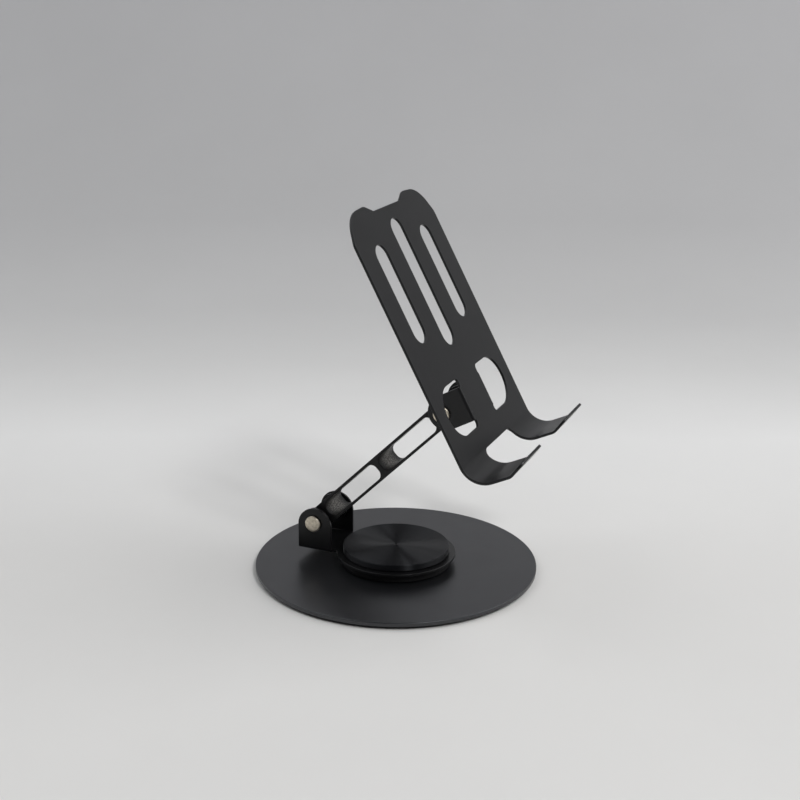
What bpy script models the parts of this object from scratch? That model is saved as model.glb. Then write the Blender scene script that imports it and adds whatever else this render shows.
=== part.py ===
"""Folding desk stand for a phone, as an assembly of separate sheet-metal and turned pieces.

A round base carries a turntable. A windowed arm is hinged between two ears at the back of the
turntable, and a bent cradle plate is hinged on the arm's upper end. The origin is the middle of
the underside, +Z is up, and the phone faces -Y. Run it with blender --background --python part.py.
"""
import math

import bmesh
import bpy
from mathutils import Matrix, Vector

MM = 0.001
GAP = 0.3 * MM              # clearance left between neighbouring pieces
SHEET = 0.9 * MM            # thickness of both bent sheets
TIGHT_BEND = 0.3 * MM       # inner radius where the hinge ears are bent up

# Base
BASE_R = 50.0 * MM
PAD_R = 48.5 * MM
PAD_H = 0.7 * MM
DISC_Z = PAD_H + GAP
DISC_TOP = DISC_Z + 1.5 * MM

# Swivel: a rivet through the middle, with friction washers under the turntable
RIVET_R = 2.5 * MM
BEARING_R_IN = 13.0 * MM
BEARING_R_OUT = 19.7 * MM
BEARING_H = 2.4 * MM
BEARING_Z = DISC_TOP + GAP
TURNTABLE_R = 21.2 * MM
TURNTABLE_Z = BEARING_Z + BEARING_H + GAP
TURNTABLE_TOP = TURNTABLE_Z + SHEET
HUB_R = 18.9 * MM
HUB_H = 2.1 * MM
HUB_Z = TURNTABLE_TOP + GAP
HUB_EDGE = 0.5 * MM         # chamfer round the hub cap's top edge
HUB_POCKET_R = 5.8 * MM     # hollow under the cap, over the rivet's formed head
HUB_SKIN = 0.5 * MM

# Hinges: both use the same pin, collar, disc springs, washers and bush
EAR_OUT = 9.85 * MM         # from the middle plane to an ear's outer face
EAR_IN = EAR_OUT - SHEET
PIN_R = 2.0 * MM
PIN_HEAD_R = 2.9 * MM
PIN_HEAD_H = 0.9 * MM
PIN_HOLE_R = PIN_R + GAP
BUSH_WALL = 0.5 * MM
BUSH_R = PIN_HOLE_R + BUSH_WALL
WASHER_R = 5.0 * MM
WASHER_H = 0.55 * MM

# Arm
ARM_LENGTH = 67.5 * MM      # between the two hinge axes
ARM_HALF_WIDTH = 6.7 * MM
ARM_HALF_DEPTH = 4.02 * MM
ARM_BORE_R = BUSH_R + GAP
ARM_LEAN = math.radians(45.35)      # forwards from upright
WINDOW_HALF = 3.02 * MM
WINDOW_CORNER = 2.4 * MM
WINDOW_INSET = 6.05 * MM    # from a hinge axis to the nearest window
BRIDGE = 2.1 * MM           # wall between the two windows

# Lower hinge, on the turntable
LOWER_Y = 27.8 * MM
LOWER_Z = DISC_TOP + 13.25 * MM
LOWER_EAR_R = 6.4 * MM
LOWER_EAR_DROP = 0.9 * MM   # an ear's round end is centred this far below the pin
LOWER_EAR_AHEAD = 0.3 * MM  # and this far in front of it

# Cradle plate, in its own frame: +Z up the plate, -Y out of its front, hinge axis through 0
CRADLE_LEAN = math.radians(-28.36)  # backwards from upright
FRONT_Y = -10.1 * MM
CRADLE_HALF = 33.8 * MM
UPPER_EAR_R = 6.1 * MM
UPPER_EAR_SETBACK = 1.1 * MM        # round end's centre, nearer the plate than the pin is
PLATE_TOP = 73.0 * MM
DIP_DEPTH = 2.6 * MM
FOOT_BEND_Z = -15.1 * MM    # where the plate starts to bend forwards
FOOT_BEND_R = 7.6 * MM
FOOT_BEND = math.radians(86.8)
SHELF_FLAT = 5.8 * MM
LIP_BEND_R = 3.3 * MM
LIP_BEND = math.radians(28.9)
LIP_FLAT = 6.2 * MM
LIP_CORNER = 4.0 * MM
CABLE_HALF = 13.4 * MM
CABLE_CORNER = 3.2 * MM
CABLE_TOP_Z = -16.0 * MM

# Holes in the cradle plate
D_LOW = -8.4 * MM
D_HIGH = 9.1 * MM
D_ARC_X = 18.2 * MM
D_CORNER = 1.5 * MM
SLOT_HALF = 4.28 * MM
SIDE_SLOT_X = 19.07 * MM
MIDDLE_SLOT = (19.3 * MM, 65.8 * MM)
SIDE_SLOT = (25.0 * MM, 59.8 * MM)

BEND_STEPS = 8
FINE = 96                   # sides of the base
ROUND = 64                  # sides of the hub and the turntable
SMALL = 32                  # sides of pins and washers


def clear_scene():
    for old in list(bpy.data.objects):
        bpy.data.objects.remove(old, do_unlink=True)


def new_collection(name):
    collection = bpy.data.collections.new(name)
    bpy.context.scene.collection.children.link(collection)
    return collection


def make_material(name, colour, roughness, metallic):
    material = bpy.data.materials.new(name)
    material.use_nodes = True
    shader = material.node_tree.nodes["Principled BSDF"]
    shader.inputs["Base Color"].default_value = (*colour, 1.0)
    shader.inputs["Roughness"].default_value = roughness
    shader.inputs["Metallic"].default_value = metallic
    return material


def add_empty(name, parent=None, location=(0, 0, 0), turn_x=0.0):
    empty = bpy.data.objects.new(name, None)
    empty.empty_display_size = 0.01
    empty.location = location
    empty.rotation_euler = (turn_x, 0, 0)
    empty.parent = parent
    COLLECTION.objects.link(empty)
    return empty


def add_part(name, mesh, material, parent=None):
    part = bpy.data.objects.new(name, mesh)
    part.parent = parent
    mesh.materials.clear()
    mesh.materials.append(material)
    COLLECTION.objects.link(part)
    return part


def shade(mesh, angle=30):
    mesh.shade_smooth()
    mesh.set_sharp_from_angle(angle=math.radians(angle))


# --- Outlines -------------------------------------------------------------------------------

def arc(centre, radius, start, end, steps):
    """Points on an arc, from one angle in degrees to another, both ends included."""
    points = []
    for i in range(steps + 1):
        angle = math.radians(start + (end - start) * i / steps)
        points.append((centre[0] + radius * math.cos(angle), centre[1] + radius * math.sin(angle)))
    return points


def circle(centre, radius, steps):
    return arc(centre, radius, 0, 360, steps)[:-1]


def rounded(corners, steps=6):
    """The outline through (x, y, radius) corners, each rounded to its radius."""
    points = []
    for i, (x, y, radius) in enumerate(corners):
        here = Vector((x, y))
        before = (Vector(corners[i - 1][:2]) - here).normalized()
        after = (Vector(corners[(i + 1) % len(corners)][:2]) - here).normalized()
        if radius == 0:
            points.append((x, y))
            continue
        half = before.angle(after) / 2
        centre = here + (before + after).normalized() * radius / math.sin(half)
        first = here + before * radius / math.tan(half) - centre
        last = here + after * radius / math.tan(half) - centre
        sweep = last.angle_signed(first)
        for k in range(steps + 1):
            turn = Matrix.Rotation(sweep * k / steps, 2)
            points.append(tuple(centre + turn @ first))
    return points


def stadium(x, low, high, half, steps=12):
    """A slot along Y with round ends, on the line at x."""
    return (arc((x, high - half), half, 0, 180, steps)
            + arc((x, low + half), half, 180, 360, steps))


def mirrored(outline):
    return [(-x, y) for x, y in outline]


# --- Solids ---------------------------------------------------------------------------------

def blank(name, outlines, thickness):
    """A flat solid, with its first outline filled and the others left as holes, z 0 to thickness."""
    curve = bpy.data.curves.new(name, "CURVE")
    curve.dimensions = "2D"
    curve.fill_mode = "BOTH"
    curve.extrude = thickness / 2
    for outline in outlines:
        spline = curve.splines.new("POLY")
        spline.points.add(len(outline) - 1)
        for point, (x, y) in zip(spline.points, outline):
            point.co = (x, y, 0, 1)
        spline.use_cyclic_u = True
    holder = bpy.data.objects.new(name, curve)
    COLLECTION.objects.link(holder)
    evaluated = holder.evaluated_get(bpy.context.evaluated_depsgraph_get())
    mesh = bpy.data.meshes.new_from_object(evaluated)
    bpy.data.objects.remove(holder, do_unlink=True)
    mesh.name = name
    bm = bmesh.new()
    bm.from_mesh(mesh)
    bmesh.ops.translate(bm, verts=bm.verts, vec=(0, 0, thickness / 2))
    bmesh.ops.remove_doubles(bm, verts=bm.verts, dist=0.000001)
    bmesh.ops.recalc_face_normals(bm, faces=bm.faces)
    return mesh, bm


def fold(bm, line, outward, inner_z, toward, angle, inner_radius, moves):
    """Bend a flat sheet about a line.

    line is a point on the bend's first edge and outward the flat direction away from it. inner_z
    is the height of the sheet's face inside the bend, and toward is +1 or -1, the side of the
    sheet it bends to. moves(co) says whether a point belongs to the flap.
    """
    neutral = inner_radius + SHEET / 2
    length = neutral * angle
    outward = Vector(outward)
    for i in range(BEND_STEPS + 1):
        at = Vector(line) + outward * (length * i / BEND_STEPS)
        everything = bm.verts[:] + bm.edges[:] + bm.faces[:]
        bmesh.ops.bisect_plane(bm, geom=everything, plane_co=at, plane_no=outward, dist=0.0000001)
    for vertex in bm.verts:
        along = (vertex.co - Vector(line)).dot(outward)
        if along <= 0 or not moves(vertex.co):
            continue
        turned_by = min(along / neutral, angle)
        beyond = max(along - length, 0)
        radius = inner_radius + (inner_z - vertex.co.z) * toward
        out = radius * math.sin(turned_by) + beyond * math.cos(turned_by)
        rise = inner_radius - radius * math.cos(turned_by) + beyond * math.sin(turned_by)
        flat = vertex.co - outward * along
        vertex.co = Vector((flat.x, flat.y, inner_z + toward * rise)) + outward * out


def turned(name, profile, sides, material, parent=None, closed=False):
    """A solid of revolution about Z from (radius, z) points running down its outer side."""
    mesh = bpy.data.meshes.new(name)
    bm = bmesh.new()
    ring = [bm.verts.new((radius, 0, z)) for radius, z in profile]
    for i in range(len(ring) - 1):
        bm.edges.new((ring[i], ring[i + 1]))
    if closed:
        bm.edges.new((ring[-1], ring[0]))
    bm.to_mesh(mesh)
    bm.free()
    part = add_part(name, mesh, material, parent)
    screw = part.modifiers.new("Turn", "SCREW")
    screw.steps = sides
    screw.render_steps = sides
    screw.use_merge_vertices = True
    screw.merge_threshold = 0.00001
    screw.use_smooth_shade = False
    return part


def tube(name, inner, outer, low, high, sides, material, parent=None):
    profile = [(outer, high), (outer, low), (inner, low), (inner, high)]
    return turned(name, profile, sides, material, parent, closed=True)


# --- Base and swivel ------------------------------------------------------------------------

def make_base():
    edge = 0.2 * MM
    turned("base_pad", [(0, PAD_H), (PAD_R, PAD_H), (PAD_R, 0), (0, 0)], FINE, RUBBER)
    hole = RIVET_R + GAP + 0.1 * MM
    countersink = hole + 1.7 * MM
    turned("base_disc", [
        (BASE_R - edge, DISC_TOP), (BASE_R, DISC_TOP - edge),
        (BASE_R, DISC_Z + edge), (BASE_R - edge, DISC_Z),
        (countersink, DISC_Z), (hole, DISC_TOP - edge), (hole, DISC_TOP),
    ], FINE, BLACK_STEEL, closed=True)


def make_swivel():
    bore = RIVET_R + GAP
    tube("swivel_bearing_ring", BEARING_R_IN, BEARING_R_OUT, BEARING_Z, BEARING_Z + BEARING_H,
         ROUND, BLACK_NYLON)
    washer = 0.4 * MM
    low = BEARING_Z
    tube("swivel_lower_washer", bore, 8.0 * MM, low, low + washer, SMALL, BLACK_NYLON)
    spring_low = low + washer + GAP
    leaf = 0.2 * MM
    cone = 0.3 * MM
    spring_r = 7.5 * MM
    turned("swivel_disc_spring", [
        (spring_r, spring_low + leaf), (spring_r, spring_low),
        (bore, spring_low + cone), (bore, spring_low + cone + leaf),
    ], SMALL, SPRING_STEEL, closed=True)
    upper_low = spring_low + cone + leaf + GAP
    tube("swivel_upper_washer", bore, 8.0 * MM, upper_low, TURNTABLE_Z - GAP, SMALL, BLACK_NYLON,
         TURNTABLE)
    clamp_top = HUB_Z + washer
    tube("swivel_clamp_washer", bore, 5.2 * MM, HUB_Z, clamp_top, SMALL, PLAIN_STEEL)
    head_low = clamp_top + GAP
    head_high = HUB_Z + HUB_H - HUB_SKIN - GAP
    head_r = 4.0 * MM
    foot = DISC_Z + 0.1 * MM
    turned("swivel_rivet", [
        (0, head_high), (head_r - 0.3 * MM, head_high), (head_r, head_low + 0.2 * MM),
        (head_r, head_low), (RIVET_R, head_low), (RIVET_R, DISC_TOP - 0.1 * MM),
        (RIVET_R + 1.65 * MM, foot), (0, foot),
    ], SMALL, PLAIN_STEEL)


def make_turntable():
    """Round plate with a tongue at the back, whose two ears are bent up for the arm."""
    neutral = TIGHT_BEND + SHEET / 2
    bend_x = EAR_OUT - SHEET - TIGHT_BEND
    after_bend = bend_x + neutral * math.pi / 2
    bend_top = TURNTABLE_Z + SHEET + TIGHT_BEND
    ear_x = after_bend + LOWER_Z - LOWER_EAR_DROP - bend_top
    pin_x = after_bend + LOWER_Z - bend_top
    ear_y = LOWER_Y - LOWER_EAR_AHEAD
    front = ear_y - LOWER_EAR_R
    back = ear_y + LOWER_EAR_R
    side = math.degrees(math.acos(bend_x / TURNTABLE_R))
    right = [(bend_x, front)] + arc((ear_x, ear_y), LOWER_EAR_R, -90, 90, 20) + [(bend_x, back)]
    outline = arc((0, 0), TURNTABLE_R, 180 - side, 360 + side, ROUND - 12)
    outline += right + mirrored(reversed(right))
    holes = [circle((pin_x * sign, LOWER_Y), PIN_HOLE_R, 24) for sign in (1, -1)]
    holes.append(circle((0, 0), RIVET_R + GAP, SMALL))
    mesh, bm = blank("turntable_bracket", [outline] + holes, SHEET)
    for sign in (1, -1):
        fold(bm, (bend_x * sign, 0, 0), (sign, 0, 0), SHEET, 1, math.pi / 2, TIGHT_BEND,
             lambda co: co.y > front - 0.5 * MM)
    bmesh.ops.translate(bm, verts=bm.verts, vec=(0, 0, TURNTABLE_Z))
    bm.to_mesh(mesh)
    bm.free()
    shade(mesh)
    add_part("turntable_bracket", mesh, BLACK_STEEL, TURNTABLE)
    top = HUB_Z + HUB_H
    turned("hub_cap", [
        (0, top), (HUB_R - HUB_EDGE, top), (HUB_R, top - HUB_EDGE), (HUB_R, HUB_Z),
        (HUB_POCKET_R, HUB_Z), (HUB_POCKET_R, top - HUB_SKIN), (0, top - HUB_SKIN),
    ], ROUND, SPUN_ALUMINIUM, TURNTABLE)


# --- Hinges ---------------------------------------------------------------------------------

def make_hinge(prefix, pivot, ears, arm):
    """One pin with its collar, and a disc spring and washer on each side of the bushed arm.

    ears is the empty that the ears move with, arm the empty of the arm's end, and pivot the
    axis' place in each of the two frames.
    """
    in_ears, in_arm = pivot
    sideways = (0, math.pi / 2, 0)

    def place(part, at):
        part.location = at
        part.rotation_euler = sideways

    head = -EAR_OUT - GAP
    tail = EAR_OUT + GAP + PIN_HEAD_H
    chamfer = 0.25 * MM
    place(turned(prefix + "_hinge_pin", [
        (0, tail), (PIN_R - chamfer, tail), (PIN_R, tail - chamfer), (PIN_R, head),
        (PIN_HEAD_R, head), (PIN_HEAD_R, head - PIN_HEAD_H + chamfer),
        (PIN_HEAD_R - chamfer, head - PIN_HEAD_H), (0, head - PIN_HEAD_H),
    ], SMALL, PLAIN_STEEL, ears), in_ears)
    place(tube(prefix + "_pin_collar", PIN_HOLE_R, PIN_HEAD_R + 0.4 * MM, tail - PIN_HEAD_H, tail,
               SMALL, PLAIN_STEEL, ears), in_ears)
    leaf = 0.3 * MM
    washer_low = ARM_HALF_WIDTH + GAP
    spring_low = washer_low + WASHER_H + GAP
    spring_high = EAR_IN - GAP
    for side, turn in (("left", -math.pi / 2), ("right", math.pi / 2)):
        washer = tube("%s_washer_%s" % (prefix, side), PIN_HOLE_R, WASHER_R,
                      washer_low, washer_low + WASHER_H, SMALL, BLACK_NYLON, ears)
        spring = turned("%s_disc_spring_%s" % (prefix, side), [
            (WASHER_R, spring_low + leaf), (WASHER_R, spring_low),
            (PIN_HOLE_R, spring_high - leaf), (PIN_HOLE_R, spring_high),
        ], SMALL, SPRING_STEEL, ears, closed=True)
        for part in (washer, spring):
            part.location = in_ears
            part.rotation_euler = (0, turn, 0)
    place(tube(prefix + "_bush", PIN_HOLE_R, BUSH_R, -ARM_HALF_WIDTH, ARM_HALF_WIDTH,
               SMALL, BLACK_NYLON, arm), in_arm)


# --- Arm ------------------------------------------------------------------------------------

def make_arm():
    """A flat bar with a bore at each end and two long windows, drawn from the side."""
    outer = stadium(0, -ARM_HALF_DEPTH, ARM_LENGTH + ARM_HALF_DEPTH, ARM_HALF_DEPTH, steps=16)
    middle = ARM_LENGTH / 2
    windows = []
    for low, high in ((WINDOW_INSET, middle - BRIDGE / 2),
                      (middle + BRIDGE / 2, ARM_LENGTH - WINDOW_INSET)):
        windows.append(rounded([
            (-WINDOW_HALF, low, WINDOW_CORNER), (WINDOW_HALF, low, WINDOW_CORNER),
            (WINDOW_HALF, high, WINDOW_CORNER), (-WINDOW_HALF, high, WINDOW_CORNER),
        ]))
    bores = [circle((0, at), ARM_BORE_R, SMALL) for at in (0, ARM_LENGTH)]
    mesh, bm = blank("arm_link", [outer] + windows + bores, 2 * ARM_HALF_WIDTH)
    bmesh.ops.translate(bm, verts=bm.verts, vec=(0, 0, -ARM_HALF_WIDTH))
    side_view = Matrix(((0, 0, 1), (1, 0, 0), (0, 1, 0)))
    bmesh.ops.rotate(bm, verts=bm.verts, cent=(0, 0, 0), matrix=side_view)
    bm.to_mesh(mesh)
    bm.free()
    shade(mesh)
    add_part("arm_link", mesh, BLACK_ALUMINIUM, ARM)


# --- Cradle ---------------------------------------------------------------------------------

def cradle_outline():
    """The flat pattern's edge: top corners and dip, straight sides, two hooks and the cable gap."""
    foot_length = (FOOT_BEND_R + SHEET / 2) * FOOT_BEND
    lip_length = (LIP_BEND_R + SHEET / 2) * LIP_BEND
    tip = FOOT_BEND_Z - foot_length - SHELF_FLAT - lip_length - LIP_FLAT
    dip = PLATE_TOP - DIP_DEPTH
    half = [
        (CABLE_HALF, CABLE_TOP_Z, CABLE_CORNER),
        (CABLE_HALF, tip, LIP_CORNER),
        (CRADLE_HALF, tip, LIP_CORNER),
        (CRADLE_HALF, PLATE_TOP - 10.5 * MM, 4.0 * MM),
        (28.6 * MM, PLATE_TOP - 0.7 * MM, 12.0 * MM),
        (16.4 * MM, PLATE_TOP, 5.0 * MM),
        (11.0 * MM, dip, 1.5 * MM),
    ]
    return rounded(half + [(-x, y, r) for x, y, r in reversed(half)])


def cradle_d_hole(bend_x, ear_x):
    """A D-shaped hole on the +X side, with the hinge ear's tab standing in it."""
    reach = (D_HIGH - D_LOW) / 2
    middle = (D_HIGH + D_LOW) / 2
    corner = arc((bend_x + D_CORNER, D_LOW + D_CORNER), D_CORNER, 180, 270, 5)
    bow = arc((D_ARC_X, middle), reach, -90, 90, 18)
    top_corner = arc((bend_x + D_CORNER, D_HIGH - D_CORNER), D_CORNER, 90, 180, 5)
    tab = arc((ear_x, 0), UPPER_EAR_R, 90, -90, 20)
    tab = [(bend_x, tab[0][1])] + tab + [(bend_x, tab[-1][1])]
    return corner + bow + top_corner + tab


def make_cradle():
    """One sheet, cut flat with its slots and D holes, then bent at the lips, foot and ears."""
    neutral = TIGHT_BEND + SHEET / 2
    bend_x = EAR_OUT - SHEET - TIGHT_BEND
    after_bend = bend_x + neutral * math.pi / 2
    pin_depth = -FRONT_Y - SHEET - TIGHT_BEND
    pin_x = after_bend + pin_depth
    ear_x = pin_x - UPPER_EAR_SETBACK
    d_hole = cradle_d_hole(bend_x, ear_x)
    outlines = [cradle_outline(), d_hole, mirrored(d_hole)]
    outlines += [circle((pin_x * sign, 0), PIN_HOLE_R, 24) for sign in (1, -1)]
    outlines.append(stadium(0, *MIDDLE_SLOT, SLOT_HALF))
    outlines += [stadium(SIDE_SLOT_X * sign, *SIDE_SLOT, SLOT_HALF) for sign in (1, -1)]
    mesh, bm = blank("cradle_plate", outlines, SHEET)
    foot_length = (FOOT_BEND_R + SHEET / 2) * FOOT_BEND
    lip_start = FOOT_BEND_Z - foot_length - SHELF_FLAT
    fold(bm, (0, lip_start, 0), (0, -1, 0), SHEET, 1, LIP_BEND, LIP_BEND_R, lambda co: True)
    fold(bm, (0, FOOT_BEND_Z, 0), (0, -1, 0), SHEET, 1, FOOT_BEND, FOOT_BEND_R, lambda co: True)
    ear_reach = ear_x + UPPER_EAR_R + 0.5 * MM
    for sign in (1, -1):
        fold(bm, (bend_x * sign, 0, 0), (sign, 0, 0), 0, -1, math.pi / 2, TIGHT_BEND,
             lambda co: abs(co.x) < ear_reach and abs(co.y) < UPPER_EAR_R + 0.1 * MM)
    upright = Matrix(((1, 0, 0), (0, 0, -1), (0, 1, 0)))
    bmesh.ops.rotate(bm, verts=bm.verts, cent=(0, 0, 0), matrix=upright)
    bmesh.ops.translate(bm, verts=bm.verts, vec=(0, FRONT_Y + SHEET, 0))
    bm.to_mesh(mesh)
    bm.free()
    shade(mesh)
    add_part("cradle_plate", mesh, BLACK_STEEL, CRADLE)


clear_scene()
COLLECTION = new_collection("folding_phone_stand")
BLACK_STEEL = make_material("black_satin_steel", (0.035, 0.035, 0.037), 0.45, 0.3)
BLACK_ALUMINIUM = make_material("black_satin_aluminium", (0.03, 0.03, 0.032), 0.4, 0.3)
SPUN_ALUMINIUM = make_material("black_spun_aluminium", (0.04, 0.04, 0.042), 0.3, 0.8)
PLAIN_STEEL = make_material("plain_steel", (0.62, 0.61, 0.59), 0.35, 1.0)
SPRING_STEEL = make_material("spring_steel", (0.3, 0.3, 0.31), 0.35, 1.0)
BLACK_NYLON = make_material("black_nylon", (0.02, 0.02, 0.02), 0.5, 0.0)
RUBBER = make_material("black_rubber", (0.015, 0.015, 0.015), 0.8, 0.0)
TURNTABLE = add_empty("turntable_axis")
ARM = add_empty("arm_axis", TURNTABLE, (0, LOWER_Y, LOWER_Z), ARM_LEAN)
CRADLE = add_empty("cradle_axis", ARM, (0, 0, ARM_LENGTH), CRADLE_LEAN - ARM_LEAN)
make_base()
make_swivel()
make_turntable()
make_arm()
make_cradle()
make_hinge("lower", ((0, LOWER_Y, LOWER_Z), (0, 0, 0)), TURNTABLE, ARM)
make_hinge("upper", ((0, 0, 0), (0, 0, ARM_LENGTH)), CRADLE, ARM)
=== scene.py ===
"""The finished look of the folding phone stand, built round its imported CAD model.

Every CAD node that shows is replaced by a finer piece of the same size, with rounded edges, and
each piece gets a procedural material. The frame is the CAD's: +Z up, metres, the phone faces -Y.
"""
import math

import bmesh
import bpy
from mathutils import Euler, Matrix, Vector


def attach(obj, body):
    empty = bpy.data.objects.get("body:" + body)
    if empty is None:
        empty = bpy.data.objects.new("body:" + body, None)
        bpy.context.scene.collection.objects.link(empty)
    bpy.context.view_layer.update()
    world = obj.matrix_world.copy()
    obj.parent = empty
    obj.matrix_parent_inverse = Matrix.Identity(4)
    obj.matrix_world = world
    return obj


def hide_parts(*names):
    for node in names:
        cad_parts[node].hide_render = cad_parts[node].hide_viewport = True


MM = 0.001
GAP = 0.3 * MM              # the clearance between neighbouring parts
ON_AXIS = 0.01 * MM         # a turned profile's point this near the axis lies on it
WELD = 0.001 * MM           # mesh points this near each other are joined
CUT_TOLERANCE = 0.0001 * MM

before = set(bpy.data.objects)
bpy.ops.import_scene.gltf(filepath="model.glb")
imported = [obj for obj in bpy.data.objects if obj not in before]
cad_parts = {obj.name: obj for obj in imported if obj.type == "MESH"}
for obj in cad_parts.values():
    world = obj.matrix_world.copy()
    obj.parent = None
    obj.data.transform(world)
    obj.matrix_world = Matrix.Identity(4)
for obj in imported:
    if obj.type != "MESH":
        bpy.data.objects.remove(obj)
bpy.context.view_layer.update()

# --- Dimensions, the same as the CAD model's ---------------------------------------------------

SHEET = 0.9 * MM
EDGE = 0.16 * MM            # rounding on the sheets' edges
TIGHT_BEND = 0.3 * MM

PAD_R, PAD_H = 48.5 * MM, 0.7 * MM
BASE_R = 50.0 * MM
DISC_Z = PAD_H + GAP
DISC_TOP = DISC_Z + 1.5 * MM
RIVET_R = 2.5 * MM
DISC_HOLE_R = RIVET_R + GAP + 0.1 * MM
DISC_RECESS_R = DISC_HOLE_R + 1.7 * MM
BEARING_R_IN, BEARING_R_OUT = 13.0 * MM, 19.7 * MM
BEARING_Z = DISC_TOP + GAP
BEARING_H = 2.4 * MM
TURNTABLE_R = 21.2 * MM
TURNTABLE_Z = BEARING_Z + BEARING_H + GAP
HUB_R, HUB_H, HUB_CHAMFER = 18.9 * MM, 2.1 * MM, 0.2 * MM
HUB_Z = TURNTABLE_Z + SHEET + GAP
HUB_POCKET_R, HUB_SKIN = 5.8 * MM, 0.5 * MM
DIMPLE_R, DIMPLE_DEPTH = 0.8 * MM, 0.15 * MM

EAR_OUT = 9.85 * MM
EAR_IN = EAR_OUT - SHEET
BEND_X = EAR_IN - TIGHT_BEND
BEND_NEUTRAL = TIGHT_BEND + SHEET / 2
AFTER_BEND_X = BEND_X + BEND_NEUTRAL * math.pi / 2      # where the bend ends on a flat blank
PIN_R, PIN_HEAD_R, PIN_HEAD_H = 2.0 * MM, 2.9 * MM, 0.9 * MM
PIN_CHAMFER, PIN_DOME = 0.2 * MM, 0.048 * MM
PIN_HOLE_R = PIN_R + GAP
COLLAR_R = PIN_HEAD_R + 0.4 * MM
WASHER_R, WASHER_H = 5.0 * MM, 0.55 * MM
SPRING_LEAF = 0.3 * MM
LOWER_EAR_R, LOWER_EAR_DROP, LOWER_EAR_AHEAD = 6.4 * MM, 0.9 * MM, 0.3 * MM
UPPER_EAR_R, UPPER_EAR_SETBACK = 6.1 * MM, 1.1 * MM

ARM_LENGTH = 67.5 * MM
ARM_HALF_WIDTH, ARM_HALF_DEPTH = 6.7 * MM, 4.02 * MM
ARM_EDGE = 0.18 * MM
ARM_BORE_R = PIN_HOLE_R + 0.5 * MM + GAP
ARM_LEAN = math.radians(45.35)
WINDOW_HALF, WINDOW_CORNER, WINDOW_INSET, BRIDGE = 3.02 * MM, 2.4 * MM, 6.05 * MM, 2.1 * MM

LOWER = Vector((0, 27.8 * MM, DISC_TOP + 13.25 * MM))
UPPER = LOWER + ARM_LENGTH * Vector((0, -math.sin(ARM_LEAN), math.cos(ARM_LEAN)))
CRADLE_LEAN = math.radians(-28.36)
FRONT_Y = -10.1 * MM
CRADLE_HALF = 33.8 * MM
PLATE_TOP, DIP_DEPTH, DIP_HALF, DIP_CORNER = 73.0 * MM, 2.6 * MM, 11.0 * MM, 1.5 * MM
BROW_X, BROW_CORNER = 16.4 * MM, 5.0 * MM
CROWN_X, CROWN_DROP, CROWN_CORNER = 28.6 * MM, 0.7 * MM, 12.0 * MM
SHOULDER_DROP, SHOULDER_CORNER = 10.5 * MM, 4.0 * MM
FOOT_BEND_Z, FOOT_BEND_R, FOOT_BEND = -15.1 * MM, 7.6 * MM, math.radians(86.8)
FOOT_LENGTH = (FOOT_BEND_R + SHEET / 2) * FOOT_BEND
SHELF_FLAT = 5.8 * MM
LIP_BEND_R, LIP_BEND, LIP_FLAT, LIP_CORNER = 3.3 * MM, math.radians(28.9), 6.2 * MM, 4.0 * MM
LIP_LENGTH = (LIP_BEND_R + SHEET / 2) * LIP_BEND
LIP_START = FOOT_BEND_Z - FOOT_LENGTH - SHELF_FLAT
CABLE_HALF, CABLE_CORNER, CABLE_TOP_Z = 13.4 * MM, 3.2 * MM, -16.0 * MM
D_LOW, D_HIGH, D_ARC_X, D_CORNER = -8.4 * MM, 9.1 * MM, 18.2 * MM, 1.5 * MM
SLOT_HALF, SIDE_SLOT_X = 4.28 * MM, 19.07 * MM
MIDDLE_SLOT, SIDE_SLOT = (19.3 * MM, 65.8 * MM), (25.0 * MM, 59.8 * MM)

AT_REST = Matrix.Identity(4)
AT_LOWER = Matrix.Translation(LOWER)
AT_ARM = AT_LOWER @ Matrix.Rotation(ARM_LEAN, 4, "X")
AT_CRADLE = Matrix.Translation(UPPER) @ Matrix.Rotation(CRADLE_LEAN, 4, "X")


# --- Materials ---------------------------------------------------------------------------------

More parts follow.
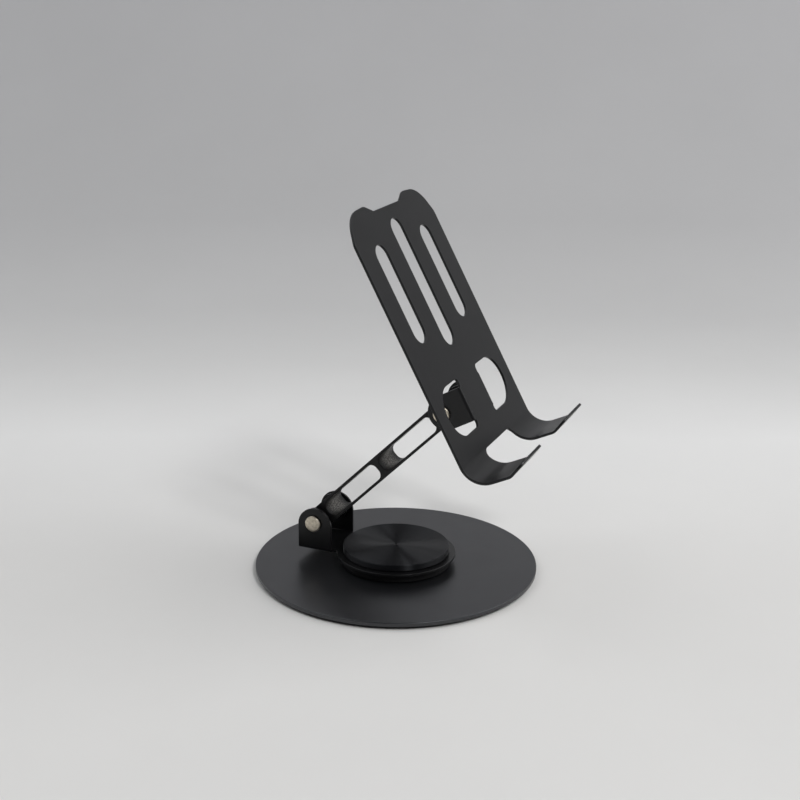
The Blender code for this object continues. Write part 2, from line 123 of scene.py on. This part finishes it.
class Nodes:
    """A material's node tree with short calls for the nodes used here.

    Patterns lie in the piece's own space, in metres, so they move with it.
    """

    def __init__(self, name):
        self.material = bpy.data.materials.new(name)
        self.material.use_nodes = True
        self.tree = self.material.node_tree
        self.shader = self.tree.nodes["Principled BSDF"]
        self.spot = self.add("ShaderNodeTexCoord").outputs["Object"]

    def add(self, kind, **settings):
        node = self.tree.nodes.new(kind)
        for key, value in settings.items():
            setattr(node, key, value)
        return node

    def link(self, out, into):
        self.tree.links.new(out, into)

    def feed(self, value, socket):
        """Links an output to a socket, or sets the socket to a plain value."""
        if isinstance(value, bpy.types.NodeSocket):
            self.link(value, socket)
        else:
            socket.default_value = value

    def axes(self):
        """The X, Y and Z of the point being shaded."""
        apart = self.add("ShaderNodeSeparateXYZ")
        self.link(self.spot, apart.inputs["Vector"])
        return apart.outputs["X"], apart.outputs["Y"], apart.outputs["Z"]

    def noise(self, scale, detail, stretch=(1, 1, 1)):
        """A noise with features of about 1/scale metres, squeezed along the axes by stretch."""
        mapping = self.add("ShaderNodeMapping")
        mapping.inputs["Scale"].default_value = stretch
        self.link(self.spot, mapping.inputs["Vector"])
        return self.noise_at(mapping.outputs["Vector"], scale, detail, roughness=0.6)

    def noise_at(self, where, scale, detail, roughness):
        noise = self.add("ShaderNodeTexNoise")
        noise.inputs["Scale"].default_value = scale
        noise.inputs["Detail"].default_value = detail
        noise.inputs["Roughness"].default_value = roughness
        self.link(where, noise.inputs["Vector"])
        return noise.outputs["Fac"]

    def cells(self, scale):
        """The distance from the nearest of scattered points, in spacings of 1/scale metres."""
        cells = self.add("ShaderNodeTexVoronoi")
        cells.inputs["Scale"].default_value = scale
        self.link(self.spot, cells.inputs["Vector"])
        return cells.outputs["Distance"]

    def ramp(self, value, stops):
        """A colour ramp through (position, colour or grey) stops."""
        ramp = self.add("ShaderNodeValToRGB")
        while len(ramp.color_ramp.elements) < len(stops):
            ramp.color_ramp.elements.new(0.5)
        for element, (at, colour) in zip(ramp.color_ramp.elements, stops):
            element.position = at
            colour = (colour,) * 3 if isinstance(colour, float) else colour
            element.color = (*colour, 1)
        self.link(value, ramp.inputs["Fac"])
        return ramp.outputs["Color"]

    def span(self, value, low, high, from_low=0.3, from_high=0.7):
        """The value stretched from one range to another; a noise lies mostly within 0.3 to 0.7."""
        node = self.add("ShaderNodeMapRange")
        node.inputs["From Min"].default_value = from_low
        node.inputs["From Max"].default_value = from_high
        node.inputs["To Min"].default_value = low
        node.inputs["To Max"].default_value = high
        self.link(value, node.inputs["Value"])
        return node.outputs["Result"]

    def math(self, kind, a, b=0):
        node = self.add("ShaderNodeMath", operation=kind)
        for socket, value in zip(node.inputs, (a, b)):
            self.feed(value, socket)
        return node.outputs["Value"]

    def weighted(self, x, x_weight, y, y_weight):
        """The sum of two values, each times its weight."""
        return self.math("ADD", self.math("MULTIPLY", x, x_weight),
                         self.math("MULTIPLY", y, y_weight))

    def mix(self, factor, first, second, blend="MIX"):
        """Two colours mixed, all the second where the factor is 1."""
        node = self.add("ShaderNodeMixRGB", blend_type=blend)
        for name, value in (("Fac", factor), ("Color1", first), ("Color2", second)):
            self.feed(value, node.inputs[name])
        return node.outputs["Color"]

    def bump(self, height, distance, strength, after=None):
        """A normal that rises by distance where the height is 1, on top of another bump."""
        node = self.add("ShaderNodeBump")
        node.inputs["Distance"].default_value = distance
        node.inputs["Strength"].default_value = strength
        self.link(height, node.inputs["Height"])
        if after is not None:
            self.link(after, node.inputs["Normal"])
        return node.outputs["Normal"]

    def set(self, **values):
        """Sets or links the shader's sockets: base_color=..., roughness=..."""
        for key, value in values.items():
            socket = self.shader.inputs[key.replace("_", " ").title().replace("Ior", "IOR")]
            self.feed((*value, 1) if isinstance(value, tuple) else value, socket)
        return self.material


def powder_coat(name, dark, light, roughness, gloss, tint):
    """Black satin powder coat: a fine orange peel, slight cloudiness and a few specks of dust."""
    n = Nodes(name)
    clouds = n.ramp(n.noise(60, detail=3), [(0.3, dark), (0.7, light)])
    dust = n.span(n.cells(220), low=0.5, high=0.0, from_low=0.02, from_high=0.05)
    colour = n.mix(dust, clouds, (0.07, 0.07, 0.068, 1))
    peel = n.bump(n.noise(2600, detail=2), distance=0.02 * MM, strength=0.08)
    waves = n.bump(n.noise(350, detail=2), distance=0.05 * MM, strength=0.02, after=peel)
    rough = n.span(n.noise(90, detail=2), roughness - 0.01, roughness + 0.02)
    return n.set(base_color=colour, roughness=rough, normal=waves, specular_ior_level=gloss,
                 specular_tint=tint)


def blasted_aluminium(name):
    """Black anodised aluminium with a blasted grain, and a painted highlight down the middle of
    the arm.
    """
    n = Nodes(name)
    grain = n.noise(2400, detail=3)
    off_centre = n.math("ABSOLUTE", n.axes()[0])
    # Painted highlight: a grainy pale band across the middle of the arm's width, where its window
    # walls and edges would catch the light.
    painted_highlight = n.span(off_centre, low=1.0, high=0.0, from_low=1.5 * MM, from_high=6.2 * MM)
    dark = n.ramp(grain, [(0.35, (0.006, 0.006, 0.0065)), (0.7, (0.014, 0.014, 0.0145))])
    highlight_colour = n.ramp(grain, [(0.4, (0.04, 0.039, 0.036)), (0.62, (0.36, 0.345, 0.32))])
    rough = n.span(n.noise(900, detail=3), 0.30, 0.46)
    bump = n.bump(grain, distance=0.05 * MM, strength=0.55)
    return n.set(base_color=n.mix(painted_highlight, dark, highlight_colour), roughness=rough, normal=bump,
                 metallic=0.25, specular_ior_level=0.35)


def spun_aluminium(name):
    """Black anodised aluminium with fine turning rings, which stretch highlights into fans."""
    n = Nodes(name)
    x, y, _ = n.axes()
    radius = n.math("SQRT", n.weighted(x, x, y, y))
    outward = n.add("ShaderNodeCombineXYZ")
    n.link(radius, outward.inputs["X"])
    rings = n.noise_at(outward.outputs["Vector"], 5200, detail=3, roughness=0.5)
    colour = n.ramp(rings, [(0.3, (0.002, 0.0021, 0.0025)), (0.7, (0.006, 0.0063, 0.0075))])
    rough = n.span(rings, 0.42, 0.50)
    bump = n.bump(rings, distance=0.02 * MM, strength=0.6)
    tangent = n.add("ShaderNodeTangent", direction_type="RADIAL", axis="Z")
    n.link(tangent.outputs["Tangent"], n.shader.inputs["Tangent"])
    return n.set(base_color=colour, roughness=rough, normal=bump, anisotropic=1.0,
                 anisotropic_rotation=0.25, specular_ior_level=0.32,
                 specular_tint=(0.90, 0.93, 1.0))


def plain_steel(name, dark, light, roughness):
    """Bare steel, lightly textured and faintly stained."""
    n = Nodes(name)
    colour = n.ramp(n.noise(900, detail=5), [(0.3, dark), (0.72, light)])
    rough = n.span(n.noise(2400, detail=3), roughness - 0.08, roughness + 0.1)
    bump = n.bump(n.noise(1700, detail=3), distance=0.04 * MM, strength=0.5)
    return n.set(base_color=colour, roughness=rough, normal=bump, metallic=1.0)


def nylon(name):
    """Matt black nylon with moulding grain."""
    n = Nodes(name)
    grain = n.noise(2200, detail=3)
    colour = n.ramp(grain, [(0.3, (0.004, 0.004, 0.004)), (0.7, (0.010, 0.010, 0.0105))])
    bump = n.bump(grain, distance=0.03 * MM, strength=0.4)
    return n.set(base_color=colour, roughness=n.span(grain, 0.48, 0.62), normal=bump,
                 specular_ior_level=0.25)


def rubber(name):
    """Soft black rubber sheet: matt, with a fine closed-cell grain and paler rub marks."""
    n = Nodes(name)
    rubs = n.noise(90, detail=6, stretch=(1, 4, 1))
    colour = n.ramp(rubs, [(0.3, (0.010, 0.010, 0.010)), (0.75, (0.030, 0.030, 0.029))])
    bump = n.bump(n.cells(1400), distance=0.12 * MM, strength=0.5)
    return n.set(base_color=colour, roughness=n.span(rubs, 0.7, 0.88), normal=bump,
                 specular_ior_level=0.3)


COAT = powder_coat("black_powder_coat", dark=(0.0045, 0.0045, 0.0049),
                   light=(0.0065, 0.0065, 0.0071), roughness=0.31, gloss=0.34,
                   tint=(0.98, 0.99, 1.0))
DISC_COAT = powder_coat("black_powder_coat_base", dark=(0.004, 0.0042, 0.005),
                        light=(0.007, 0.0073, 0.0085), roughness=0.33, gloss=0.90,
                        tint=(0.93, 0.95, 1.0))
BLASTED = blasted_aluminium("black_blasted_aluminium")
SPUN = spun_aluminium("black_spun_aluminium")
STEEL = plain_steel("bare_steel", dark=(0.54, 0.48, 0.38), light=(0.90, 0.83, 0.70),
                    roughness=0.36)
SPRING = plain_steel("spring_steel", dark=(0.20, 0.20, 0.21), light=(0.38, 0.38, 0.40),
                     roughness=0.34)
NYLON = nylon("black_nylon")
RUBBER = rubber("black_rubber")


# --- Outlines ----------------------------------------------------------------------------------

def arc(centre, radius, start, end, steps):
    """Points along an arc, both ends included, from start to end in degrees."""
    points = []
    for i in range(steps + 1):
        angle = math.radians(start + (end - start) * i / steps)
        points.append((centre[0] + radius * math.cos(angle), centre[1] + radius * math.sin(angle)))
    return points


def circle(centre, radius, steps):
    """A closed circle's points."""
    return arc(centre, radius, 0, 360, steps)[:-1]


def rounded(corners, steps=12):
    """The outline through (x, y, radius) corners, each rounded to its radius."""
    points = []
    for i, (x, y, radius) in enumerate(corners):
        here = Vector((x, y))
        before = (Vector(corners[i - 1][:2]) - here).normalized()
        after = (Vector(corners[(i + 1) % len(corners)][:2]) - here).normalized()
        half = before.angle(after) / 2
        centre = here + (before + after).normalized() * radius / math.sin(half)
        first = here + before * radius / math.tan(half) - centre
        last = here + after * radius / math.tan(half) - centre
        sweep = last.angle_signed(first)
        for k in range(steps + 1):
            points.append(tuple(centre + Matrix.Rotation(sweep * k / steps, 2) @ first))
    return points


def stadium(x, low, high, half, steps=24):
    """An upright slot with round ends, from low to high, half to each side of x."""
    return (arc((x, high - half), half, 0, 180, steps)
            + arc((x, low + half), half, 180, 360, steps))


def mirrored(outline):
    """The outline on the other side of the Y axis."""
    return [(-x, y) for x, y in outline]


# --- Solids ------------------------------------------------------------------------------------

def finish_piece(name, mesh, material, place, body, node, sharp=40):
    """Puts a mesh in place of a CAD node, with smooth normals that keep its flats flat."""
    mesh.transform(place)
    mesh.shade_smooth()
    mesh.set_sharp_from_angle(angle=math.radians(sharp))
    mesh.materials.append(material)
    piece = bpy.data.objects.new(name, mesh)
    bpy.context.scene.collection.objects.link(piece)
    weighted = piece.modifiers.new("Flat faces", "WEIGHTED_NORMAL")
    weighted.keep_sharp = True
    weighted.weight = 80
    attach(piece, body)
    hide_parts(node)


def finish_sheet(name, mesh, bm, material, place, body, node):
    """Turns an edited flat or folded solid back into a mesh, and finishes it."""
    bm.to_mesh(mesh)
    bm.free()
    finish_piece(name, mesh, material, place, body, node)


def blank(name, outlines, thickness, edge):
    """A flat solid with rounded edges: the first outline filled, the others left as holes."""
    curve = bpy.data.curves.new(name, "CURVE")
    curve.dimensions = "2D"
    curve.fill_mode = "BOTH"
    curve.extrude = thickness / 2 - edge
    curve.bevel_depth = edge
    curve.bevel_resolution = 2
    curve.offset = -edge
    for outline in outlines:
        spline = curve.splines.new("POLY")
        spline.points.add(len(outline) - 1)
        for point, (x, y) in zip(spline.points, outline):
            point.co = (x, y, 0, 1)
        spline.use_cyclic_u = True
    holder = bpy.data.objects.new(name, curve)
    bpy.context.scene.collection.objects.link(holder)
    evaluated = holder.evaluated_get(bpy.context.evaluated_depsgraph_get())
    mesh = bpy.data.meshes.new_from_object(evaluated)
    bpy.data.objects.remove(holder, do_unlink=True)
    mesh.name = name
    bm = bmesh.new()
    bm.from_mesh(mesh)
    bmesh.ops.translate(bm, verts=bm.verts, vec=(0, 0, thickness / 2))
    bmesh.ops.remove_doubles(bm, verts=bm.verts, dist=WELD)
    bmesh.ops.recalc_face_normals(bm, faces=bm.faces)
    return mesh, bm


def fold(bm, line, outward, inner_z, toward, angle, inner_radius, moves, steps):
    """Bends a flat sheet about a line, on the side that outward points to.

    The sheet's face at inner_z is the inside of the bend. It turns up where toward is 1, and down
    where toward is -1. Only the points that moves() accepts are bent.
    """
    neutral = inner_radius + SHEET / 2
    length = neutral * angle
    line, outward = Vector(line), Vector(outward)
    for i in range(steps + 1):
        at = line + outward * (length * i / steps)
        everything = bm.verts[:] + bm.edges[:] + bm.faces[:]
        bmesh.ops.bisect_plane(bm, geom=everything, plane_co=at, plane_no=outward,
                               dist=CUT_TOLERANCE)
    for vertex in bm.verts:
        along = (vertex.co - line).dot(outward)
        if along <= 0 or not moves(vertex.co):
            continue
        turned_by = min(along / neutral, angle)
        beyond = max(along - length, 0)
        radius = inner_radius + (inner_z - vertex.co.z) * toward
        out = radius * math.sin(turned_by) + beyond * math.cos(turned_by)
        rise = inner_radius - radius * math.cos(turned_by) + beyond * math.sin(turned_by)
        flat = vertex.co - outward * along
        vertex.co = Vector((flat.x, flat.y, inner_z + toward * rise)) + outward * out


def soften(profile, radius, steps=3):
    """A (radius, z) profile with each of its corners off the axis rounded."""
    longest = 0.45          # of the side beside the corner, so that two roundings never meet
    points = []
    for i, here in enumerate(profile):
        here = Vector(here)
        before = Vector(profile[i - 1])
        after = Vector(profile[(i + 1) % len(profile)])
        if here.x < ON_AXIS:
            points.append(tuple(here))
            continue
        reach = min(radius, (before - here).length * longest, (after - here).length * longest)
        first = here + (before - here).normalized() * reach
        last = here + (after - here).normalized() * reach
        for k in range(steps + 1):
            t = k / steps
            points.append(tuple(first * (1 - t) ** 2 + here * 2 * t * (1 - t) + last * t * t))
    return points


def turned(name, profile, sides, edge, material, place, body, closed=False):
    """A turned piece that replaces the CAD node of the same name, its corners rounded to edge."""
    bm = bmesh.new()
    rings = []
    for radius, z in soften(profile, edge):
        if radius < ON_AXIS:
            rings.append([bm.verts.new((0, 0, z))])
        else:
            rings.append([bm.verts.new((radius * math.cos(2 * math.pi * k / sides),
                                        radius * math.sin(2 * math.pi * k / sides), z))
                          for k in range(sides)])
    count = len(rings)
    for i in range(count if closed else count - 1):
        a, b = rings[i], rings[(i + 1) % count]
        for k in range(sides):
            n = (k + 1) % sides
            face = []
            for corner in (a[k % len(a)], a[n % len(a)], b[n % len(b)], b[k % len(b)]):
                if corner not in face:
                    face.append(corner)
            bm.faces.new(face)
    bmesh.ops.recalc_face_normals(bm, faces=bm.faces)
    mesh = bpy.data.meshes.new(name + "_fine")
    bm.to_mesh(mesh)
    bm.free()
    finish_piece(name + "_fine", mesh, material, place, body, name, sharp=50)


def band(inner, outer, low, high):
    """The profile of a plain ring."""
    return [(inner, high), (outer, high), (outer, low), (inner, low)]


# --- Base and swivel ---------------------------------------------------------------------------

def make_base():
    """The rubber pad, the disc on it, the bearing ring and the hub cap."""
    turned("base_pad", [(0, PAD_H), (PAD_R, PAD_H), (PAD_R, 0), (0, 0)], 160, 0.2 * MM, RUBBER,
           AT_REST, "base")
    turned("base_disc", [
        (DISC_HOLE_R, DISC_TOP), (BASE_R, DISC_TOP), (BASE_R, DISC_Z), (DISC_RECESS_R, DISC_Z),
    ], 192, 0.3 * MM, DISC_COAT, AT_REST, "base", closed=True)
    turned("swivel_bearing_ring",
           band(BEARING_R_IN, BEARING_R_OUT, BEARING_Z, BEARING_Z + BEARING_H),
           128, 0.25 * MM, NYLON, AT_REST, "base", closed=True)
    top = HUB_Z + HUB_H
    turned("hub_cap", [
        (0, top - DIMPLE_DEPTH), (DIMPLE_R, top), (HUB_R - HUB_CHAMFER, top),
        (HUB_R, top - HUB_CHAMFER), (HUB_R, HUB_Z), (HUB_POCKET_R, HUB_Z),
        (HUB_POCKET_R, top - HUB_SKIN), (0, top - HUB_SKIN),
    ], 160, 0.08 * MM, SPUN, AT_REST, "turntable")


def make_turntable():
    """One sheet: a round plate whose tongue's two sides are folded up into ears."""
    bend_top = TURNTABLE_Z + SHEET + TIGHT_BEND
    pin_x = AFTER_BEND_X + LOWER.z - bend_top
    ear = (pin_x - LOWER_EAR_DROP, LOWER.y - LOWER_EAR_AHEAD)
    front, back = ear[1] - LOWER_EAR_R, ear[1] + LOWER_EAR_R
    side = math.degrees(math.acos(BEND_X / TURNTABLE_R))
    plate = arc((0, 0), TURNTABLE_R, 180 - side, 360 + side, 120)
    right = [(BEND_X, front)] + arc(ear, LOWER_EAR_R, -90, 90, 40) + [(BEND_X, back)]
    outlines = [plate + right + mirrored(reversed(right))]
    outlines += [circle((pin_x * sign, LOWER.y), PIN_HOLE_R, 40) for sign in (1, -1)]
    outlines.append(circle((0, 0), RIVET_R + GAP, 40))
    mesh, bm = blank("turntable_bracket_fine", outlines, SHEET, EDGE)
    for sign in (1, -1):
        fold(bm, (BEND_X * sign, 0, 0), (sign, 0, 0), SHEET, 1, math.pi / 2, TIGHT_BEND,
             lambda co: co.y > front - 0.5 * MM, 12)
    bmesh.ops.translate(bm, verts=bm.verts, vec=(0, 0, TURNTABLE_Z))
    finish_sheet("turntable_bracket_fine", mesh, bm, COAT, AT_REST, "turntable",
                 "turntable_bracket")


# --- Arm and hinges ----------------------------------------------------------------------------

def make_arm():
    """A flat bar with round ends, two windows and a bore at each hinge."""
    outlines = [stadium(0, -ARM_HALF_DEPTH, ARM_LENGTH + ARM_HALF_DEPTH, ARM_HALF_DEPTH, steps=32)]
    middle = ARM_LENGTH / 2
    for low, high in ((WINDOW_INSET, middle - BRIDGE / 2),
                      (middle + BRIDGE / 2, ARM_LENGTH - WINDOW_INSET)):
        outlines.append(rounded([
            (-WINDOW_HALF, low, WINDOW_CORNER), (WINDOW_HALF, low, WINDOW_CORNER),
            (WINDOW_HALF, high, WINDOW_CORNER), (-WINDOW_HALF, high, WINDOW_CORNER),
        ], steps=16))
    outlines += [circle((0, at), ARM_BORE_R, 48) for at in (0, ARM_LENGTH)]
    mesh, bm = blank("arm_link_fine", outlines, 2 * ARM_HALF_WIDTH, ARM_EDGE)
    bmesh.ops.translate(bm, verts=bm.verts, vec=(0, 0, -ARM_HALF_WIDTH))
    side_view = Matrix(((0, 0, 1), (1, 0, 0), (0, 1, 0)))
    bmesh.ops.rotate(bm, verts=bm.verts, cent=(0, 0, 0), matrix=side_view)
    finish_sheet("arm_link_fine", mesh, bm, BLASTED, AT_ARM, "arm", "arm_link")


def make_hinge(prefix, place, ears):
    """The pin, collar, washers and disc springs of one hinge, along X through its pivot."""
    across = place @ Matrix.Rotation(math.pi / 2, 4, "Y")
    head = -EAR_OUT - GAP
    crown = head - PIN_HEAD_H
    tail = EAR_OUT + GAP + PIN_HEAD_H
    turned(prefix + "_hinge_pin", [
        (0, tail), (PIN_R, tail), (PIN_R, head), (PIN_HEAD_R, head),
        (PIN_HEAD_R, crown + PIN_CHAMFER), (PIN_HEAD_R * 0.86, crown + PIN_DOME),
        (PIN_HEAD_R * 0.5, crown), (0, crown),
    ], 64, 0.2 * MM, STEEL, across, ears)
    turned(prefix + "_pin_collar", band(PIN_HOLE_R, COLLAR_R, tail - PIN_HEAD_H, tail),
           64, 0.2 * MM, STEEL, across, ears, closed=True)
    washer_low = ARM_HALF_WIDTH + GAP
    washer_high = washer_low + WASHER_H
    spring_low = washer_high + GAP
    spring_high = EAR_IN - GAP
    for side, turn in (("left", -math.pi / 2), ("right", math.pi / 2)):
        facing = place @ Matrix.Rotation(turn, 4, "Y")
        turned("%s_washer_%s" % (prefix, side),
               band(PIN_HOLE_R, WASHER_R, washer_low, washer_high),
               64, 0.1 * MM, NYLON, facing, ears, closed=True)
        turned("%s_disc_spring_%s" % (prefix, side), [
            (WASHER_R, spring_low + SPRING_LEAF), (WASHER_R, spring_low),
            (PIN_HOLE_R, spring_high - SPRING_LEAF), (PIN_HOLE_R, spring_high),
        ], 64, 0.06 * MM, SPRING, facing, ears, closed=True)


# --- Cradle ------------------------------------------------------------------------------------

def cradle_outline():
    """The flat blank's edge: two lips below, a cable gap between them, and a dip in the top."""
    tip = LIP_START - LIP_LENGTH - LIP_FLAT
    half = [
        (CABLE_HALF, CABLE_TOP_Z, CABLE_CORNER),
        (CABLE_HALF, tip, LIP_CORNER),
        (CRADLE_HALF, tip, LIP_CORNER),
        (CRADLE_HALF, PLATE_TOP - SHOULDER_DROP, SHOULDER_CORNER),
        (CROWN_X, PLATE_TOP - CROWN_DROP, CROWN_CORNER),
        (BROW_X, PLATE_TOP, BROW_CORNER),
        (DIP_HALF, PLATE_TOP - DIP_DEPTH, DIP_CORNER),
    ]
    return rounded(half + [(-x, y, r) for x, y, r in reversed(half)])


def cradle_d_hole(ear_x):
    """The D hole on the right, with the ear still lying flat in it."""
    reach = (D_HIGH - D_LOW) / 2
    middle = (D_HIGH + D_LOW) / 2
    low_corner = arc((BEND_X + D_CORNER, D_LOW + D_CORNER), D_CORNER, 180, 270, 10)
    bow = arc((D_ARC_X, middle), reach, -90, 90, 40)
    top_corner = arc((BEND_X + D_CORNER, D_HIGH - D_CORNER), D_CORNER, 90, 180, 10)
    tab = arc((ear_x, 0), UPPER_EAR_R, 90, -90, 40)
    tab = [(BEND_X, tab[0][1])] + tab + [(BEND_X, tab[-1][1])]
    return low_corner + bow + top_corner + tab


def make_cradle():
    """One sheet, cut flat, its hooks folded forwards and its two ears folded back."""
    pin_x = AFTER_BEND_X - FRONT_Y - SHEET - TIGHT_BEND
    ear_x = pin_x - UPPER_EAR_SETBACK
    d_hole = cradle_d_hole(ear_x)
    outlines = [cradle_outline(), d_hole, mirrored(d_hole)]
    outlines += [circle((pin_x * sign, 0), PIN_HOLE_R, 40) for sign in (1, -1)]
    outlines.append(stadium(0, *MIDDLE_SLOT, SLOT_HALF))
    outlines += [stadium(SIDE_SLOT_X * sign, *SIDE_SLOT, SLOT_HALF) for sign in (1, -1)]
    mesh, bm = blank("cradle_plate_fine", outlines, SHEET, EDGE)
    for z, angle, radius, steps in ((LIP_START, LIP_BEND, LIP_BEND_R, 10),
                                    (FOOT_BEND_Z, FOOT_BEND, FOOT_BEND_R, 28)):
        fold(bm, (0, z, 0), (0, -1, 0), SHEET, 1, angle, radius, lambda co: True, steps)
    ear_reach = ear_x + UPPER_EAR_R + 0.5 * MM
    for sign in (1, -1):
        fold(bm, (BEND_X * sign, 0, 0), (sign, 0, 0), 0, -1, math.pi / 2, TIGHT_BEND,
             lambda co: abs(co.x) < ear_reach and abs(co.y) < UPPER_EAR_R + 0.1 * MM, 12)
    upright = Matrix(((1, 0, 0), (0, 0, -1), (0, 1, 0)))
    bmesh.ops.rotate(bm, verts=bm.verts, cent=(0, 0, 0), matrix=upright)
    bmesh.ops.translate(bm, verts=bm.verts, vec=(0, FRONT_Y + SHEET, 0))
    finish_sheet("cradle_plate_fine", mesh, bm, COAT, AT_CRADLE, "cradle", "cradle_plate")


make_base()
make_turntable()
make_arm()
make_hinge("lower", AT_LOWER, "turntable")
make_hinge("upper", AT_CRADLE, "cradle")
make_cradle()

# The hidden swivel pieces and the bushes keep their CAD shape
for node, material in (("swivel_rivet", STEEL), ("swivel_clamp_washer", STEEL),
                       ("swivel_disc_spring", SPRING), ("swivel_lower_washer", NYLON),
                       ("swivel_upper_washer", NYLON), ("lower_bush", NYLON),
                       ("upper_bush", NYLON)):
    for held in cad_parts[node].material_slots:
        held.material = material


# --- Stage, light and camera -------------------------------------------------------------------

LIGHTS_AIM = Vector((0, 0, 0.05))


def paper(ahead):
    """Off-white backdrop paper, faintly mottled, whose tone falls off up, behind and right of the
    stand as painted shade.
    """
    n = Nodes("backdrop_paper")
    x, y, z = n.axes()
    behind = n.math("ADD", n.weighted(x, ahead.x, y, ahead.y), z)
    across = n.weighted(x, ahead.y, y, -ahead.x)
    pale = n.ramp(n.noise(6, detail=6), [(0.3, (0.755, 0.755, 0.75)), (0.7, (0.785, 0.785, 0.78))])
    # Painted shade: the light's falloff, with the paper darker up the sweep and wall behind the
    # stand and paler again out of view.
    painted_falloff = n.ramp(n.span(behind, 0.0, 1.0, 0.0, 1.0), [
        (0.0, (0.94, 0.934, 0.925)), (0.14, 1.0), (0.25, 0.83), (0.36, (0.71, 0.71, 0.715)),
        (0.52, (0.62, 0.62, 0.63)), (0.86, (0.61, 0.61, 0.625)), (1.0, (0.77, 0.77, 0.79))])
    tone = n.mix(1.0, pale, painted_falloff, blend="MULTIPLY")
    # Painted shade: the wall far to the right is darkened.
    painted_shade_right = n.math("MULTIPLY", n.span(across, 0.0, 1.0, 0.45, 0.8),
                       n.span(behind, 0.0, 1.0, 0.5, 0.8))
    fibre = n.bump(n.noise(900, detail=3), distance=0.05 * MM, strength=0.2)
    return n.set(base_color=n.mix(painted_shade_right, tone, (0.26, 0.26, 0.27, 1)), roughness=0.85,
                 normal=fibre, specular_ior_level=0.2)


def make_backdrop(ahead):
    """A floor that sweeps up into a wall behind the stand; ahead is the way the camera looks."""
    near, far, half_width, height = -2.2, 0.30, 2.4, 1.9
    sweep_radius, sweep_steps = 0.55, 24
    side = Vector((-ahead.y, ahead.x, 0))
    line = [(near, 0.0), (far, 0.0)]
    for i in range(1, sweep_steps + 1):
        angle = math.pi / 2 * i / sweep_steps
        line.append((far + sweep_radius * math.sin(angle), sweep_radius * (1 - math.cos(angle))))
    line.append((far + sweep_radius, height))
    mesh = bpy.data.meshes.new("backdrop")
    bm = bmesh.new()
    rows = [[bm.verts.new(ahead * along + side * reach + Vector((0, 0, rise)))
             for reach in (-half_width, half_width)] for along, rise in line]
    for a, b in zip(rows, rows[1:]):
        bm.faces.new((a[0], b[0], b[1], a[1]))
    bmesh.ops.recalc_face_normals(bm, faces=bm.faces)
    if bm.faces[0].normal.z < 0:
        bmesh.ops.reverse_faces(bm, faces=bm.faces)
    bm.to_mesh(mesh)
    bm.free()
    mesh.shade_smooth()
    mesh.materials.append(paper(ahead))
    backdrop = bpy.data.objects.new("backdrop", mesh)
    bpy.context.scene.collection.objects.link(backdrop)


def add_light(name, place, size, power, colour):
    """A rectangular area light, its size in metres and its power in watts, aimed at the stand."""
    data = bpy.data.lights.new(name, "AREA")
    data.shape = "RECTANGLE"
    data.size, data.size_y = size
    data.energy = power
    data.color = colour
    light = bpy.data.objects.new(name, data)
    light.location = place
    light.rotation_euler = (LIGHTS_AIM - place).to_track_quat("-Z", "Y").to_euler()
    bpy.context.scene.collection.objects.link(light)


camera_data = bpy.data.cameras.new("camera")
camera_data.sensor_width = 36.0
camera_data.lens = 65.144
camera_data.clip_start = 0.02
camera_data.clip_end = 20.0
camera = bpy.data.objects.new("camera", camera_data)
camera.location = (-0.43927, -0.18202, 0.21546)
camera.rotation_euler = Euler([math.radians(a) for a in (72.1826, -0.4716, -67.4515)], "XYZ")
bpy.context.scene.collection.objects.link(camera)
bpy.context.scene.camera = camera

bpy.context.view_layer.update()
view = camera.matrix_world.to_quaternion()
forward, rightward = view @ Vector((0, 0, -1)), view @ Vector((1, 0, 0))
ahead = Vector((forward.x, forward.y, 0)).normalized()
aside = Vector((rightward.x, rightward.y, 0)).normalized()
up = Vector((0, 0, 1))

make_backdrop(ahead)
add_light("key_right", up * 1.15 + aside * 1.15 + ahead * 0.15, (1.6, 1.6), 17.2,
          (1.0, 0.995, 0.99))
add_light("fill_left", up * 1.15 - aside * 0.9 + ahead * 0.15, (1.6, 1.4), 8.0,
          (0.98, 0.99, 1.0))
add_light("front_right", up * 1.05 + aside * 0.5 - ahead * 0.8, (0.25, 0.25), 5.9,
          (1.0, 1.0, 1.0))

world = bpy.data.worlds.new("studio")
world.use_nodes = True
world.node_tree.nodes["Background"].inputs["Color"].default_value = (0.96, 0.97, 1.0, 1)
world.node_tree.nodes["Background"].inputs["Strength"].default_value = 0.10
bpy.context.scene.world = world

bpy.context.scene.view_settings.view_transform = "Standard"
bpy.context.scene.view_settings.look = "None"
